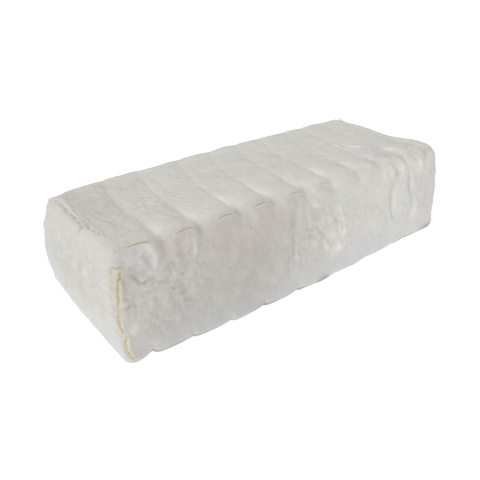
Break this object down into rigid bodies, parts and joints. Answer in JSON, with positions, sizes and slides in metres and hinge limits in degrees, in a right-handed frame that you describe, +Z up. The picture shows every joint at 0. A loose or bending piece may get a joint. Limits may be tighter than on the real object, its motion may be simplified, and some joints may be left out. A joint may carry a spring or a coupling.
{
  "type": "bar of brie cheese",
  "caption": "Whole, uncut bar of soft brie: a long block with a white mould rind, rounded edges, creased sides and the marks of a draining mat across its top and base.",
  "frame": {"origin": "middle of the bounding box, at the base that the bar rests on", "axes": "+X along the bar, away from its near end; -Y is the front side that the picture shows; +Z up"},
  "size_m": [0.2518, 0.1164, 0.0659],
  "materials": {
    "bloomy_rind": "dry, matt white mould rind, a little warm"
  },
  "bodies": {
    "root": {"brie_loaf": "bloomy_rind"}
  },
  "joints": []
}
